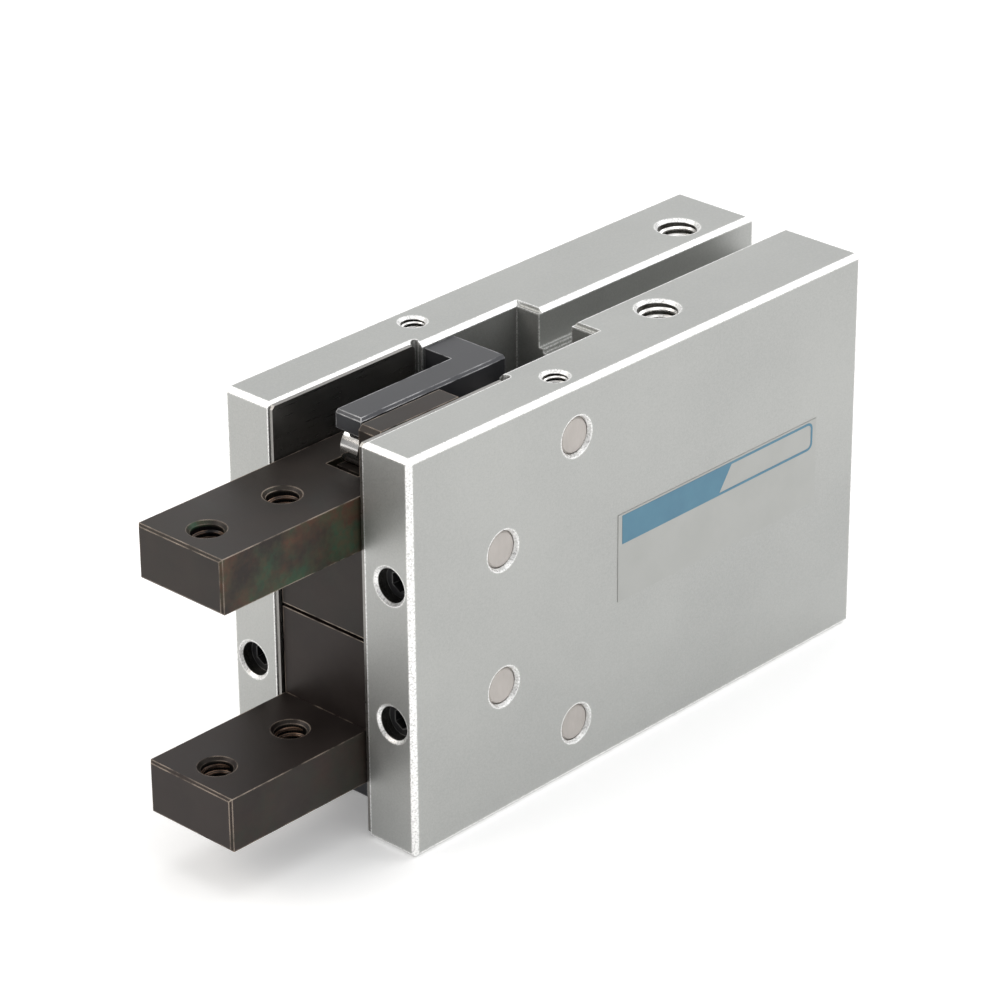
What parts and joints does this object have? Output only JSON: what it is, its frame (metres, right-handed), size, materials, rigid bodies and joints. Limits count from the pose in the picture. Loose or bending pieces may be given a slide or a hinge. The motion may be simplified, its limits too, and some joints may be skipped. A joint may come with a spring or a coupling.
{
  "type": "pneumatic gripper",
  "caption": "Double-acting pneumatic gripper: a block body with a front slot, a cam-driven crosshead and opposed angular fingers with tapped arms.",
  "frame": {"origin": "centre of the rear mounting face, in the middle of its tapped hole pattern", "axes": "+X from the rear face to the finger tips, +Z along the opening direction, Y across the body with the name label on the +Y face"},
  "size_m": [0.0867, 0.0255, 0.044],
  "materials": {
    "anodised_body": "bead-blasted clear anodised",
    "liner_steel": "ground hardened steel",
    "black_steel": "blackened steel with worn edges",
    "crosshead_steel": "blackened steel, polished by running on one edge",
    "pin_steel": "matte ground steel",
    "screw_steel": "black oxide",
    "roller_steel": "ground bearing steel",
    "rod_steel": "hard chrome",
    "piston_alloy": "turned",
    "seal_rubber": "nitrile",
    "magnet": "rubber-bonded magnet",
    "wear_plastic": "filled polymer",
    "bumper_urethane": "urethane",
    "bronze": "sintered bronze",
    "label_film": "thin printed film"
  },
  "bodies": {
    "housing": {"body": "anodised_body", "liner_left": "liner_steel", "liner_right": "liner_steel", "pivot_pin_upper": "pin_steel", "pivot_pin_lower": "pin_steel", "guide_pin_upper": "pin_steel", "guide_pin_lower": "pin_steel", "pivot_set_screws": "screw_steel", "guide_set_screws": "screw_steel", "rod_seal": "seal_rubber", "rod_bush": "bronze", "rod_seal_washer": "rod_steel", "end_cap": "piston_alloy", "cap_o_ring": "seal_rubber", "retaining_ring": "screw_steel", "name_label": "label_film"},
    "carriage": {"crosshead": "crosshead_steel", "crosshead_screw": "screw_steel", "axle_upper": "roller_steel", "axle_lower": "roller_steel", "piston_rod": "rod_steel", "piston": "piston_alloy", "piston_nut": "rod_steel", "piston_seal": "seal_rubber", "magnet_ring": "magnet", "wear_ring": "wear_plastic", "front_bumper": "bumper_urethane", "rear_bumper": "bumper_urethane"},
    "finger_upper": {"finger_upper": "black_steel"},
    "finger_lower": {"finger_lower": "black_steel"},
    "roller_upper": {"roller_upper": "roller_steel"},
    "roller_lower": {"roller_lower": "roller_steel"},
    "cam_roller_upper": {"cam_roller_upper": "roller_steel"},
    "cam_roller_lower": {"cam_roller_lower": "roller_steel"}
  },
  "joints": [
    {"name": "piston_stroke", "type": "slide", "parent": "housing", "child": "carriage", "axis": [-1, 0, 0], "range_m": [0, 0.008]},
    {"name": "finger_upper_swing", "type": "hinge", "parent": "housing", "child": "finger_upper", "pos_m": [0.0555, 0, 0.00765], "axis": [0, -1, 0], "range_deg": [0, 30]},
    {"name": "finger_lower_swing", "type": "hinge", "parent": "housing", "child": "finger_lower", "pos_m": [0.0555, 0, -0.00765], "axis": [0, 1, 0], "range_deg": [0, 30]},
    {"name": "roller_upper_spin", "type": "hinge", "parent": "carriage", "child": "roller_upper", "pos_m": [0.06143, 0, 0.017], "axis": [0, 1, 0], "continuous": true},
    {"name": "roller_lower_spin", "type": "hinge", "parent": "carriage", "child": "roller_lower", "pos_m": [0.06143, 0, -0.017], "axis": [0, 1, 0], "continuous": true},
    {"name": "cam_roller_upper_spin", "type": "hinge", "parent": "carriage", "child": "cam_roller_upper", "pos_m": [0.06143, 0, 0.017], "axis": [0, 1, 0], "continuous": true},
    {"name": "cam_roller_lower_spin", "type": "hinge", "parent": "carriage", "child": "cam_roller_lower", "pos_m": [0.06143, 0, -0.017], "axis": [0, 1, 0], "continuous": true}
  ],
  "couplings": [
    {"joint": "finger_upper_swing", "follows": "piston_stroke", "rad_per_m": 65.44},
    {"joint": "finger_lower_swing", "follows": "piston_stroke", "rad_per_m": 65.44}
  ]
}
